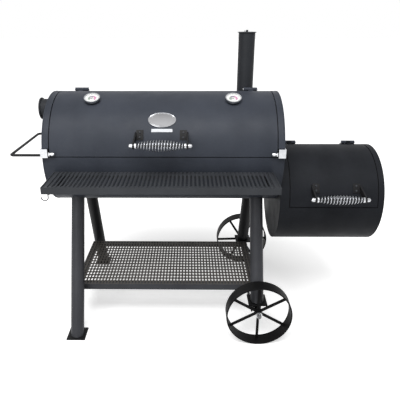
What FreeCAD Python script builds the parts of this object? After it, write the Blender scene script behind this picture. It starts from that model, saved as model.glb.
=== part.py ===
import FreeCAD, Part
import Sketcher
import math
import os
import re

# Offset barrel smoker, free standing. Millimetres, +Z up, ground at Z = 0.
# X runs along the barrels, the working side (lid seam, shelf) faces -Y.
# Formulas are written about the cooking barrel: X = 0 at its middle, Y = 0 on its axis.
# place() then shifts everything so that the origin is under the middle of the whole smoker.

doc = FreeCAD.newDocument("offset_smoker")
sheet = doc.addObject("Spreadsheet::Sheet", "Sheet")

DIMENSIONS = {
    # cooking barrel, rolled from 20 inch pipe
    "chamber_radius": 254, "chamber_wall": 6, "chamber_length": 1031, "axis_height": 830,
    "end_plate": 6, "lid_wall": 5, "lid_length": 966, "lid_front": 86, "lid_rear": 14,
    "seam": 4, "seal_width": 14, "seal_thick": 4,
    # firebox barrel, 18 inch pipe, welded low on the right-hand end
    "firebox_radius": 228.6, "firebox_length": 461, "firebox_drop": 230.6,
    "door_length": 387, "door_shift": 8, "door_front": 88, "door_rear": 15,
    "throat_width": 250, "throat_height": 116, "throat_drop": 125,
    # hinges
    "knuckle_radius": 8, "pin_radius": 4, "pin_play": 0.08, "hinge_width": 64,
    "knuckle_gap": 0.6, "leaf_thick": 4, "leaf_angle": 7, "lid_hinge_x": 397,
    "door_hinge_x": 143.5, "door_hinge_shift": 13.5,
    # spring handles
    "lid_handle_half": 110, "lid_handle_angle": 65, "lid_handle_reach": 92, "lid_handle_drop": 23,
    "door_handle_half": 107, "door_handle_reach": 78, "door_handle_angle": 66, "door_handle_drop": 26,
    "rod_radius": 5, "rod_overhang": 18, "spring_end": 12.5, "spring_bore": 6,
    "lid_spring_belly": 25, "door_spring_belly": 22,
    "bracket_thick": 6, "bracket_width": 26, "nut_radius": 9, "nut_length": 17,
    # thermometers, 3 inch dials
    "dial_radius": 35, "dial_depth": 9, "dial_standoff": 9, "dial_x": 309, "dial_angle": 25,
    "lid_fitting_shift": 6,
    "stem_radius": 7, "lens_thick": 2, "rim_width": 4, "face_thick": 1,
    # plain plates on the lid
    "badge_half_x": 59.5, "badge_half_y": 34.5, "badge_thick": 2.5, "badge_angle": 50,
    "label_length": 89, "label_width": 14, "label_thick": 1.5, "label_angle": 60.8,
    # flue
    "stack_x": 379.5, "stack_y": 137, "stack_radius": 38.6, "stack_wall": 3, "stack_top": 1336,
    "cap_radius": 43, "cap_thick": 3, "lug_radius": 11, "pivot_radius": 4, "cap_play": 0.5,
    "cap_grip_radius": 5, "cap_grip_height": 9,
    # end port with a pull-off cap
    "port_rise": 176, "port_radius": 44, "port_wall": 4, "port_length": 56,
    "port_cap_radius": 50, "port_cap_thick": 6, "spigot_length": 16, "slide_play": 0.4,
    # push handle on the left-hand end
    "push_half": 195, "push_reach": 158, "push_rod": 6, "push_bend": 15, "push_lift": 6,
    "flange_radius": 17, "flange_thick": 4,
    # air inlet disc on the firebox end
    "damper_radius": 62, "damper_thick": 3, "damper_drop": 52, "inlet_radius": 17,
    "inlet_circle": 36, "damper_knob_radius": 6, "damper_knob_reach": 22, "damper_bolt": 5,
    # legs, 2 inch tube
    "leg_radius": 30.15, "leg_wall": 4, "leg_left_x": 413, "leg_right_x": 425, "leg_top_y": 120,
    "leg_top_drop": 230, "foot_y": 338.6, "foot_size": 85, "foot_thick": 6,
    "axle_plate_y": 308, "axle_plate_z": 170,
    # wheels and axle
    "wheel_radius": 147.2, "wheel_width": 59, "wheel_y": 369.5, "rim_thick": 6, "spoke_width": 12,
    "spoke_thick": 6, "spoke_y": 360.5, "hub_radius": 14, "hub_length": 50, "axle_radius": 9,
    "axle_play": 0.1, "washer_radius": 15, "washer_thick": 3, "axle_end": 402, "hub_play": 0.5,
    "bracket_y": 318, "axle_tab_width": 38, "axle_tab_thick": 8, "split_pin": 2,
    # front shelf
    "shelf_length": 942, "shelf_front": 445, "shelf_rear": 254.5, "shelf_top": 780, "angle_leg": 29,
    "angle_thick": 3, "slat_pitch": 17, "slat_width": 8, "slat_thick": 4, "slat_count": 54,
    "shelf_bracket_x": 446, "shelf_bracket_drop": 58, "shelf_bracket_thick": 5,
    "hook_wire": 2.2, "hook_drop": 14, "hook_bend": 14, "hook_inset": 26,
    # lower shelf
    "tray_left": 437, "tray_right": 437, "tray_half_y": 221, "tray_top": 199, "mesh_thick": 3,
    "stretcher_thick": 6,
    # inside
    "grate_drop": 12, "grate_thick": 6, "grate_slot": 12, "grate_bar": 5, "grate_rim": 12,
    "grate_play": 4, "rail_size": 20, "rail_thick": 4, "coal_drop": 130,
    "baffle_length": 190, "baffle_thick": 4, "baffle_drop": 64,
    # lid catches
    "catch_width": 30, "catch_height": 38, "catch_gap": 3, "catch_bolt": 4, "catch_stand": 11,
    "catch_rise": 32, "catch_nut": 7.5, "lug_width": 5, "stud_gap": 6, "stud_length": 9,
}
for row, (alias, value) in enumerate(DIMENSIONS.items(), start=1):
    sheet.set(f"A{row}", alias)
    sheet.set(f"B{row}", str(value))
    sheet.setAlias(f"B{row}", alias)
doc.recompute()

X_AXIS = FreeCAD.Vector(1, 0, 0)
Y_AXIS = FreeCAD.Vector(0, 1, 0)
Z_AXIS = FreeCAD.Vector(0, 0, 1)
UPRIGHT = FreeCAD.Rotation()
ALONG_X = FreeCAD.Rotation(Y_AXIS, 90)
ALONG_Y = FreeCAD.Rotation(X_AXIS, -90)

# The four outermost pieces: push handle, damper knob, front shelf and axle end.
LEFT_TIP = "(chamber_length/2 + push_reach + push_rod)"
RIGHT_TIP = "(chamber_length/2 + firebox_length + damper_knob_reach)"
SHIFT_X = f"({LEFT_TIP} - {RIGHT_TIP}) / 2"
SHIFT_Y = "(shelf_front - axle_end) / 2"
CHAMBER_END = "(chamber_length/2)"
FIREBOX_MID = "(chamber_length/2 + firebox_length/2)"
DOOR_MID = f"({FIREBOX_MID} + door_shift)"
FIREBOX_Z = "(axis_height - firebox_drop)"

nodes = []


def formula(text):
    """Turn names of driving dimensions into references to the sheet."""
    return re.sub(r"[a-z]+(?:_[a-z]+)+|seam", lambda m: "Sheet." + m.group(0), text)


def number(text):
    """The present value of a formula, for shapes and angles that are made in code."""
    return float(eval_cell(formula(text)))


def eval_cell(expression):
    value = sheet.evalExpression(expression)
    return getattr(value, "Value", value)


def place(thing, x, y, z, rotation=UPRIGHT):
    """Put an object at x, y, z (formulas about the cooking barrel) and turn it."""
    thing.Placement = FreeCAD.Placement(FreeCAD.Vector(), rotation)
    for axis, text in (("x", f"{x} + {SHIFT_X}"), ("y", f"{y} + {SHIFT_Y}"), ("z", z)):
        thing.setExpression(f".Placement.Base.{axis}", formula(text))
    return thing


def shifted(x, y, z):
    return FreeCAD.Vector(number(f"{x} + {SHIFT_X}"), number(f"{y} + {SHIFT_Y}"), number(z))


def box(size, low, name="Box"):
    thing = doc.addObject("Part::Box", name)
    for side, text in zip(("Length", "Width", "Height"), size):
        thing.setExpression(side, formula(text))
    return place(thing, *low)


def rod(radius, length, start, rotation=UPRIGHT, name="Rod", angle=None):
    thing = doc.addObject("Part::Cylinder", name)
    thing.setExpression("Radius", formula(radius))
    thing.setExpression("Height", formula(length))
    if angle:
        thing.setExpression("Angle", formula(angle))
    return place(thing, *start, rotation)


def cut(base, tool, name="Cut"):
    thing = doc.addObject("Part::Cut", name)
    thing.Base = base
    thing.Tool = tool
    return thing


def fuse(pieces, name="Fuse"):
    thing = doc.addObject("Part::MultiFuse", name)
    thing.Shapes = pieces
    return thing


def common(pieces, name="Common"):
    thing = doc.addObject("Part::MultiCommon", name)
    thing.Shapes = pieces
    return thing


def group(pieces, name="Group"):
    thing = doc.addObject("Part::Compound", name)
    thing.Links = pieces
    return thing


def tube(outer, inner, length, start, rotation=UPRIGHT, name="Tube"):
    return cut(rod(outer, length, start, rotation), rod(inner, length, start, rotation), name)


def coded(shape, name):
    """A shape made with Part's own functions in shifted coordinates."""
    thing = doc.addObject("Part::Feature", name)
    thing.Shape = shape
    return thing


def node(thing, label):
    thing.Label = label
    nodes.append(thing)
    return thing


def sector(outer, inner, length, start, first, last):
    """Part of a tube along X, from angle first to angle last, both from the top towards the front."""
    turn = ALONG_X.multiply(FreeCAD.Rotation(Z_AXIS, 180 + number(first)))
    wedge = rod(outer, length, start, turn, "Sector", f"({last}) - ({first})")
    return cut(wedge, rod(inner, length, start, ALONG_X), "SectorShell")


def polar(radius, angle, height):
    """Y and Z formulas of a point at an angle from the top of a barrel, towards the front."""
    return f"-({radius}) * sin(({angle}) * 1deg)", f"{height} + ({radius}) * cos(({angle}) * 1deg)"


# ---------------------------------------------------------------- barrels with doors
def barrel_door(barrel):
    """Shell, seal frame, door panel and hinges of one barrel; its names start with the two prefixes."""
    radius, height, middle = barrel["radius"], barrel["height"], barrel["middle"]
    front, rear, length = barrel["front"], barrel["rear"], barrel["length"]
    seam_angle = f"(seam / ({radius}) * 57.3)"
    seal_angle = f"(seal_width / ({radius}) * 57.3)"
    inner = f"({radius} - chamber_wall)"

    def arc(outer, bore, width, first, last, centre=middle):
        return sector(outer, bore, width, (f"{centre} - ({width})/2", "0", height), first, last)

    shell = tube(radius, inner, barrel["shell_length"], (barrel["shell_start"], "0", height), ALONG_X)
    opening = arc(f"({radius} + 5)", f"({inner} - 5)", f"({length} + 2*seam)",
                  f"-{rear} - {seam_angle}/2", f"{front} + {seam_angle}")
    shell = cut(shell, opening)
    if barrel["holes"]:
        shell = cut(shell, barrel["holes"])
    node(shell, barrel["prefix"] + "_shell")

    frame = arc(inner, f"({inner} - seal_thick)", f"({length} + 2*seam + 2*seal_width)",
                f"-{rear} - {seal_angle}", f"{front} + {seal_angle}")
    window = arc(f"({inner} + 1)", f"({inner} - seal_thick - 1)", f"({length} - 2*seal_width)",
                 f"-{rear} + {seal_angle}", f"{front} - {seal_angle}")
    node(cut(frame, window), barrel["prefix"] + "_seal_frame")

    panel = arc(radius, f"({radius} - lid_wall)", length, f"-{rear} + {seam_angle}/2", front)
    node(panel, barrel["door"] + "_panel")

    pin_y, pin_z = polar(f"{radius} + knuckle_radius + 1", f"-{rear}", height)
    knuckle = "(hinge_width/3)"
    moving = []
    for side in ("-", ""):
        centre = f"({barrel['hinge_middle']} + {side}{barrel['hinge_x']})"
        bore_start = (f"{centre} - hinge_width/2 - 1", pin_y, pin_z)
        tight_bore = rod("pin_radius", "hinge_width + 2", bore_start, ALONG_X)
        running_bore = rod("pin_radius + pin_play", "hinge_width + 2", bore_start, ALONG_X)
        hinge_pins.append(rod("pin_radius", "hinge_width + 4", (f"{centre} - hinge_width/2 - 2", pin_y, pin_z),
                        ALONG_X))
        for third in ("-1", "0", "1"):
            start = f"{centre} + ({third} - 0.5)*{knuckle} + knuckle_gap/2"
            knuckle_tube = rod("knuckle_radius", f"{knuckle} - knuckle_gap", (start, pin_y, pin_z), ALONG_X)
            on_door = third == "0"
            first = f"-{rear}" if on_door else f"-{rear} - leaf_angle"
            leaf = sector(f"({radius} + leaf_thick)", radius, f"({knuckle} - knuckle_gap)",
                          (start, "0", height), first, f"{first} + leaf_angle")
            piece = cut(fuse([knuckle_tube, leaf]), running_bore if on_door else tight_bore)
            (moving if on_door else hinge_fixed).append(piece)
    node(group(moving), barrel["door"] + "_hinge_moving_leaves")


hinge_fixed, hinge_pins = [], []
STACK_FOOT = ("stack_x", "stack_y", "axis_height + chamber_radius/2")
barrel_door({
    "prefix": "chamber", "door": "lid", "radius": "chamber_radius", "height": "axis_height",
    "middle": "0", "front": "lid_front", "rear": "lid_rear", "length": "lid_length",
    "shell_length": "chamber_length - 2*end_plate", "shell_start": "-chamber_length/2 + end_plate",
    "hinge_x": "lid_hinge_x", "hinge_middle": "0",
    "holes": rod("stack_radius", "chamber_radius", STACK_FOOT),
})
barrel_door({
    "prefix": "firebox", "door": "firebox_door", "radius": "firebox_radius", "height": FIREBOX_Z,
    "middle": DOOR_MID, "front": "door_front", "rear": "door_rear", "length": "door_length",
    "shell_length": "firebox_length - 2*end_plate", "shell_start": f"{CHAMBER_END} + end_plate",
    "hinge_x": "door_hinge_x", "hinge_middle": f"({DOOR_MID} - door_hinge_shift)", "holes": None,
})

node(group(hinge_fixed), "hinge_fixed_leaves")
node(group(hinge_pins), "hinge_pins")

# End plates. The two that meet share the throat that lets heat and smoke through.
throat = box(("4*end_plate", "throat_width", "throat_height"),
             (f"{CHAMBER_END} - 2*end_plate", "-throat_width/2", "axis_height - throat_drop - throat_height/2"))
port_hole = rod("port_radius", "end_plate", ("-chamber_length/2", "0", "axis_height + port_rise"), ALONG_X)
node(cut(rod("chamber_radius", "end_plate", ("-chamber_length/2", "0", "axis_height"), ALONG_X), port_hole),
     "chamber_end_left")
node(cut(rod("chamber_radius", "end_plate", (f"{CHAMBER_END} - end_plate", "0", "axis_height"), ALONG_X), throat),
     "chamber_end_right")
node(cut(rod("firebox_radius", "end_plate", (CHAMBER_END, "0", FIREBOX_Z), ALONG_X), throat), "firebox_end_left")


# ---------------------------------------------------------------- air inlet
DAMPER_Z = f"{FIREBOX_Z} - damper_drop"
OUTER_END = f"({CHAMBER_END} + firebox_length)"


def inlet_holes(start_x, length, extra_turn):
    holes = []
    for quarter in range(4):
        turn = quarter * 90 + extra_turn
        y = f"inlet_circle * sin({turn} * 1deg)"
        z = f"{DAMPER_Z} + inlet_circle * cos({turn} * 1deg)"
        holes.append(rod("inlet_radius", length, (start_x, y, z), ALONG_X))
    return fuse(holes)


end_right = rod("firebox_radius", "end_plate", (f"{OUTER_END} - end_plate", "0", FIREBOX_Z), ALONG_X)
bolt_hole = rod("damper_bolt", "end_plate", (f"{OUTER_END} - end_plate", "0", DAMPER_Z), ALONG_X)
holes = fuse([inlet_holes(f"{OUTER_END} - end_plate", "end_plate", 0), bolt_hole])
node(cut(end_right, holes), "firebox_end_right")
disc = rod("damper_radius", "damper_thick", (f"{OUTER_END} + slide_play", "0", DAMPER_Z), ALONG_X)
disc_bore = rod("damper_bolt + axle_play", "damper_thick", (f"{OUTER_END} + slide_play", "0", DAMPER_Z), ALONG_X)
disc = cut(cut(disc, inlet_holes(f"{OUTER_END} + slide_play", "damper_thick", 45)), disc_bore)
knob = rod("damper_knob_radius", "damper_knob_reach - slide_play",
           (f"{OUTER_END} + slide_play", "-(damper_radius - damper_knob_radius - 1)", DAMPER_Z), ALONG_X)
node(fuse([disc, knob]), "air_damper")
bolt_shank = rod("damper_bolt", "end_plate + damper_thick + 2*slide_play + 8",
                 (f"{OUTER_END} - end_plate - 8", "0", DAMPER_Z), ALONG_X)
bolt_head = rod("2*damper_bolt", "damper_bolt", (f"{OUTER_END} + damper_thick + 2*slide_play", "0", DAMPER_Z),
                ALONG_X)
bolt_nut = rod("2*damper_bolt", "damper_bolt", (f"{OUTER_END} - end_plate - damper_bolt", "0", DAMPER_Z), ALONG_X)
node(fuse([bolt_shank, bolt_head, bolt_nut]), "damper_bolt_and_nut")


# ---------------------------------------------------------------- spring handles
def spring_handle(prefix, middle, radius, height, half, angle, reach, drop, belly):
    """Two flat brackets, a cross rod with acorn nuts and a barrel-shaped coil sleeve on it."""
    foot_y, foot_z = polar(f"{radius} - 1", angle, height)
    rod_y, rod_z = f"{foot_y} - {reach}", f"{foot_z} - {drop}"
    barrel_solid = rod(radius, f"2*({half}) + 60", (f"{middle} - ({half}) - 30", "0", height), ALONG_X)
    brackets = []
    for side in (-1, 1):
        start = f"{middle} + {side}*({half}) - bracket_thick/2"
        low = shifted(start, "0", "0").x
        y_foot, z_foot = number(f"{foot_y} + {SHIFT_Y}"), number(foot_z)
        y_rod, z_rod = number(f"{rod_y} + {SHIFT_Y}"), number(rod_z)
        width = number("bracket_width")
        # The strap runs from the barrel down its slope, then curls round the rod.
        lean = math.atan2(z_rod - z_foot, y_rod - y_foot)
        side_y, side_z = -math.sin(lean) * width / 2, math.cos(lean) * width / 2
        back = 12
        corners = [(y_foot + back + side_y, z_foot + side_z), (y_rod + side_y, z_rod + side_z),
                   (y_rod - side_y, z_rod - side_z), (y_foot + back - side_y, z_foot - side_z)]
        points = [FreeCAD.Vector(low, y, z) for y, z in corners + corners[:1]]
        strap = Part.Face(Part.makePolygon(points)).extrude(X_AXIS * number("bracket_thick"))
        eye = Part.makeCylinder(width / 2, number("bracket_thick"), FreeCAD.Vector(low, y_rod, z_rod), X_AXIS)
        bore = Part.makeCylinder(number("rod_radius"), number("bracket_thick"),
                                 FreeCAD.Vector(low, y_rod, z_rod), X_AXIS)
        brackets.append(cut(coded(strap.fuse(eye).cut(bore), "Strap"), barrel_solid))
    node(group(brackets), prefix + "_handle_brackets")

    rod_length = f"2*({half} + rod_overhang)"
    rod_start = f"{middle} - ({half}) - rod_overhang"
    node(rod("rod_radius", rod_length, (rod_start, rod_y, rod_z), ALONG_X), prefix + "_handle_rod")
    nuts = []
    for side in (-1, 1):
        inner_face = f"{middle} + {side}*({half} + bracket_thick/2 + 1)"
        start = inner_face if side == 1 else f"{inner_face} - nut_length + nut_radius"
        body = rod("nut_radius", "nut_length - nut_radius", (start, rod_y, rod_z), ALONG_X)
        dome = doc.addObject("Part::Sphere", "Dome")
        dome.setExpression("Radius", formula("nut_radius"))
        place(dome, f"{inner_face} + {side}*(nut_length - nut_radius)", rod_y, rod_z)
        hole = rod("rod_radius", rod_length, (rod_start, rod_y, rod_z), ALONG_X)
        nuts.append(cut(fuse([body, dome]), hole))
    node(group(nuts), prefix + "_handle_nuts")

    # Outline of the coil: narrow ends, wide belly, a clear bore round the rod.
    coil_half = number(f"{half} - bracket_thick/2 - 1")
    end, bore = number("spring_end"), number("spring_bore")
    centre = shifted(middle, rod_y, rod_z)
    ring_y = [FreeCAD.Vector(x, r, 0) for x, r in ((-coil_half, end), (0, number(belly)), (coil_half, end))]
    arc = Part.Arc(*ring_y).toShape()
    low_left, low_right = FreeCAD.Vector(-coil_half, bore, 0), FreeCAD.Vector(coil_half, bore, 0)
    outline = Part.Wire([Part.makeLine(low_left, ring_y[0]), arc, Part.makeLine(ring_y[2], low_right),
                         Part.makeLine(low_right, low_left)])
    sleeve = Part.Face(outline).revolve(FreeCAD.Vector(), X_AXIS, 360)
    thing = coded(sleeve, "Sleeve")
    thing.Placement = FreeCAD.Placement(centre, UPRIGHT)
    node(thing, prefix + "_handle_spring")


spring_handle("lid", "(-lid_fitting_shift)", "chamber_radius", "axis_height", "lid_handle_half",
              "lid_handle_angle", "lid_handle_reach", "lid_handle_drop", "lid_spring_belly")
spring_handle("firebox_door", f"({DOOR_MID} + 8)", "firebox_radius", FIREBOX_Z, "door_handle_half",
              "door_handle_angle", "door_handle_reach", "door_handle_drop", "door_spring_belly")


# ---------------------------------------------------------------- thermometers
cases, dials, lenses = [], [], []
for side in ("-", ""):
    turn = FreeCAD.Rotation(X_AXIS, number("dial_angle"))
    x = f"({side}dial_x - lid_fitting_shift)"

    def standing(radius, length, depth):
        y, z = polar(f"chamber_radius + ({depth})", "dial_angle", "axis_height")
        return rod(radius, length, (x, y, z), turn)

    stem = standing("stem_radius", "dial_standoff + 8", "-8")
    back = standing("dial_radius", "dial_depth", "dial_standoff")
    well = standing("dial_radius - rim_width", "dial_depth", "dial_standoff + 3")
    cases.append(cut(fuse([stem, back]), well))
    dials.append(standing("dial_radius - rim_width", "face_thick", "dial_standoff + 3"))
    lenses.append(standing("dial_radius - rim_width", "lens_thick",
                           "dial_standoff + dial_depth - lens_thick"))
node(group(cases), "thermometer_cases")
node(group(dials), "thermometer_dials")
node(group(lenses), "thermometer_lenses")
lid_panel = next(thing for thing in nodes if thing.Label == "lid_panel")
stem_holes = []
for side in ("-", ""):
    y, z = polar("chamber_radius - 20", "dial_angle", "axis_height")
    stem_holes.append(rod("stem_radius", "40", (f"{side}dial_x - lid_fitting_shift", y, z),
                          FreeCAD.Rotation(X_AXIS, number("dial_angle"))))
nodes.remove(lid_panel)
lid_panel.Label = "lid_panel_blank"
node(cut(lid_panel, fuse(stem_holes)), "lid_panel")


# ---------------------------------------------------------------- plain plates on the lid
def curved_plate(flat_outline, thickness, label):
    """A thin plate bent to the lid: the outline is cut from a skin round the barrel."""
    skin = tube(f"chamber_radius + {thickness}", "chamber_radius", "4*badge_half_x",
                ("-2*badge_half_x", "0", "axis_height"), ALONG_X)
    node(common([skin, flat_outline]), label)


y, z = polar("chamber_radius - 30", "badge_angle", "axis_height")
oval = doc.addObject("Part::Ellipse", "Oval")
oval.setExpression("MajorRadius", formula("badge_half_x"))
oval.setExpression("MinorRadius", formula("badge_half_y"))
place(oval, "-5", y, z, FreeCAD.Rotation(X_AXIS, number("badge_angle")))
oval_column = doc.addObject("Part::Extrusion", "OvalColumn")
oval_column.Base = oval
oval_column.DirMode = "Custom"
oval_column.Dir = FreeCAD.Rotation(X_AXIS, number("badge_angle")).multVec(Z_AXIS)
oval_column.LengthFwd = 60
oval_column.Solid = True
curved_plate(oval_column, "badge_thick", "lid_badge_plate")
y, z = polar("chamber_radius - 30", "label_angle", "axis_height")
strip = box(("label_length", "label_width", "60"), ("0", "0", "0"))
turn = FreeCAD.Rotation(X_AXIS, number("label_angle"))
offset_y, offset_z = "-label_width/2 * cos(label_angle * 1deg)", "-label_width/2 * sin(label_angle * 1deg)"
place(strip, "-5 - label_length/2", f"{y} + {offset_y}", f"{z} + {offset_z}", turn)
curved_plate(strip, "label_thick", "lid_label_plate")

# ---------------------------------------------------------------- flue
stack = rod("stack_radius", "stack_top - axis_height - chamber_radius*0.72",
            ("stack_x", "stack_y", "axis_height + chamber_radius*0.72"))
stack_bore = rod("stack_radius - stack_wall", "stack_top", ("stack_x", "stack_y", "axis_height"))
lug_at = ("stack_x", "stack_y + stack_radius + lug_radius - 1")
lug = rod("lug_radius", "12", (*lug_at, "stack_top - 12"))
lug_hole = rod("pivot_radius", "12", (*lug_at, "stack_top - 12"))
node(cut(cut(fuse([stack, lug]), lug_hole), stack_bore), "flue_stack")
cap = fuse([rod("cap_radius", "cap_thick", ("stack_x", "stack_y", "stack_top + cap_play")),
            rod("lug_radius", "cap_thick", (*lug_at, "stack_top + cap_play"))])
cap = cut(cap, rod("pivot_radius + axle_play", "cap_thick", (*lug_at, "stack_top + cap_play")))
grip = rod("cap_grip_radius", "cap_grip_height", ("stack_x", "stack_y", "stack_top + cap_play + cap_thick"))
node(fuse([cap, grip]), "stack_cap")
pivot = rod("pivot_radius", "16 + cap_thick + 2*cap_play", (*lug_at, "stack_top - 16"))
pivot_head = rod("2*pivot_radius", "5", (*lug_at, "stack_top + cap_thick + 2*cap_play"))
pivot_nut = rod("2*pivot_radius", "5", (*lug_at, "stack_top - 17"))
node(fuse([pivot, pivot_head, pivot_nut]), "stack_cap_pivot")

# ---------------------------------------------------------------- end port and its cap
PORT_Z = "axis_height + port_rise"
PORT_MOUTH = f"(-{CHAMBER_END} - port_length)"
node(tube("port_radius", "port_radius - port_wall", "port_length + end_plate", (PORT_MOUTH, "0", PORT_Z),
          ALONG_X), "side_port_pipe")
plug = rod("port_radius - port_wall - slide_play", "spigot_length", (f"{PORT_MOUTH} - slide_play", "0", PORT_Z),
           ALONG_X)
plug = cut(plug, rod("port_radius - 2*port_wall", "spigot_length", (f"{PORT_MOUTH} - slide_play + 1", "0", PORT_Z),
                     ALONG_X))
cap_disc = rod("port_cap_radius", "port_cap_thick", (f"{PORT_MOUTH} - port_cap_thick - slide_play", "0", PORT_Z),
               ALONG_X)
node(fuse([plug, cap_disc]), "side_port_cap")

# ---------------------------------------------------------------- push handle
FLANGE_FACE = f"(-{CHAMBER_END} - flange_thick)"
HANDLE_Z = "axis_height + push_lift"
reach_x = f"(-{CHAMBER_END} - push_reach)"
first = shifted(FLANGE_FACE, "-push_half", HANDLE_Z)
corner_front = shifted(reach_x, "-push_half", HANDLE_Z)
corner_rear = shifted(reach_x, "push_half", HANDLE_Z)
last = shifted(FLANGE_FACE, "push_half", HANDLE_Z)
bend, rod_radius = number("push_bend"), number("push_rod")
diagonal = bend * (1 - math.sqrt(0.5))
front_arc = Part.Arc(corner_front + X_AXIS * bend, corner_front + (X_AXIS + Y_AXIS) * diagonal,
                     corner_front + Y_AXIS * bend).toShape()
rear_arc = Part.Arc(corner_rear - Y_AXIS * bend, corner_rear + (X_AXIS - Y_AXIS) * diagonal,
                    corner_rear + X_AXIS * bend).toShape()
route = Part.Wire([Part.makeLine(first, corner_front + X_AXIS * bend), front_arc,
                   Part.makeLine(corner_front + Y_AXIS * bend, corner_rear - Y_AXIS * bend), rear_arc,
                   Part.makeLine(corner_rear + X_AXIS * bend, last)])
section = Part.Wire(Part.Circle(first, X_AXIS, rod_radius).toShape())
node(coded(route.makePipeShell([section], True, False), "Grip"), "push_handle")
node(group([rod("flange_radius", "flange_thick", (FLANGE_FACE, f"{side}push_half", HANDLE_Z), ALONG_X)
            for side in ("-", "")]), "push_handle_flanges")


# ---------------------------------------------------------------- legs, feet, axle plates
def leg(label, x, side, foot_y, foot_z):
    """A leaning tube from a foot plate to the underside of the barrel, coped to both."""
    foot = shifted(x, f"{side}({foot_y})", foot_z)
    head = shifted(x, f"{side}(leg_top_y)", "axis_height - leg_top_drop")
    run = head - foot
    run.normalize()
    start = foot - run * 60
    length = (head - foot).Length + 120
    outer = Part.makeCylinder(number("leg_radius"), length, start, run)
    inner = Part.makeCylinder(number("leg_radius - leg_wall"), length, start, run)
    barrel = rod("chamber_radius", "300", (f"{x} - 150", "0", "axis_height"), ALONG_X)
    below = box(("300", "300", "200"), (f"{x} - 150", f"{side}({foot_y}) - 150", f"{foot_z} - 200"))
    node(cut(coded(outer.cut(inner), "LegTube"), fuse([barrel, below])), label)
    return outer


leg_solids = []
for side, word in (("-", "front"), ("", "rear")):
    leg_solids.append(leg(f"leg_{word}_left", "-leg_left_x", side, "foot_y", "foot_thick"))
    leg_solids.append(leg(f"leg_{word}_right", "leg_right_x", side, "axle_plate_y",
                          "axle_plate_z + foot_thick"))


def foot_pair(x, y, z):
    return [box(("foot_size", "foot_size", "foot_thick"),
                (f"{x} - foot_size/2", f"{side}({y}) - foot_size/2", z)) for side in ("-", "")]


node(group(foot_pair("-leg_left_x", "foot_y", "0")
           + foot_pair("leg_right_x", "axle_plate_y", "axle_plate_z")), "leg_plates")

# ---------------------------------------------------------------- axle and wheels
AXLE_X, AXLE_Z = "leg_right_x", "wheel_radius"
tabs = []
for side in (-1, 1):
    low_y = f"{side}*bracket_y - axle_tab_thick/2"
    tab = box(("axle_tab_width", "axle_tab_thick", "axle_plate_z - wheel_radius + 22"),
              ("leg_right_x - axle_tab_width/2", low_y, "wheel_radius - 22"))
    tabs.append(cut(tab, rod("axle_radius", "axle_tab_thick", (AXLE_X, low_y, AXLE_Z), ALONG_Y)))
node(group(tabs), "axle_brackets")
axle = rod("axle_radius", "2*axle_end", (AXLE_X, "-axle_end", AXLE_Z), ALONG_Y)
pin_y = "(axle_end - 5)"
pin_holes = group([rod("split_pin", "60", (AXLE_X, f"{side}{pin_y}", f"{AXLE_Z} - 30")) for side in ("-", "")])
node(cut(axle, pin_holes), "wheel_axle")
node(group([rod("split_pin", "2*axle_radius + 12", (AXLE_X, f"{side}{pin_y}", f"{AXLE_Z} - axle_radius - 6"))
            for side in ("-", "")]), "split_pins")
HUB_IN = "(spoke_y - hub_length/2)"
HUB_OUT = "(spoke_y + hub_length/2)"
washers = []
for side in (-1, 1):
    for face, sense in ((HUB_OUT, 1), (HUB_IN, -1)):
        start = f"{side}*({face} + {sense}*(hub_play + washer_thick/2)) - washer_thick/2"
        washers.append(tube("washer_radius", "axle_radius", "washer_thick", (AXLE_X, start, AXLE_Z), ALONG_Y))
node(group(washers), "axle_washers")


def plane_of(body, role):
    return next(f for f in body.Origin.OriginFeatures if f.Role == role)


def sketch_on(body, role, name):
    sketch = body.newObject("Sketcher::SketchObject", name)
    sketch.AttachmentSupport = [(plane_of(body, role), "")]
    sketch.MapMode = "FlatFace"
    return sketch


def circle(sketch, radius):
    index = sketch.addGeometry(Part.Circle(FreeCAD.Vector(), Z_AXIS, number(radius)))
    sketch.addConstraint(Sketcher.Constraint("Coincident", index, 3, -1, 1))
    constraint = sketch.addConstraint(Sketcher.Constraint("Radius", index, number(radius)))
    sketch.setExpression(f"Constraints[{constraint}]", formula(radius))


def pad(body, sketch, length, name, pocket=False):
    kind = "PartDesign::Pocket" if pocket else "PartDesign::Pad"
    feature = body.newObject(kind, name)
    feature.Profile = sketch
    feature.Midplane = True
    feature.setExpression("Length", formula(length))
    return feature


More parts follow.
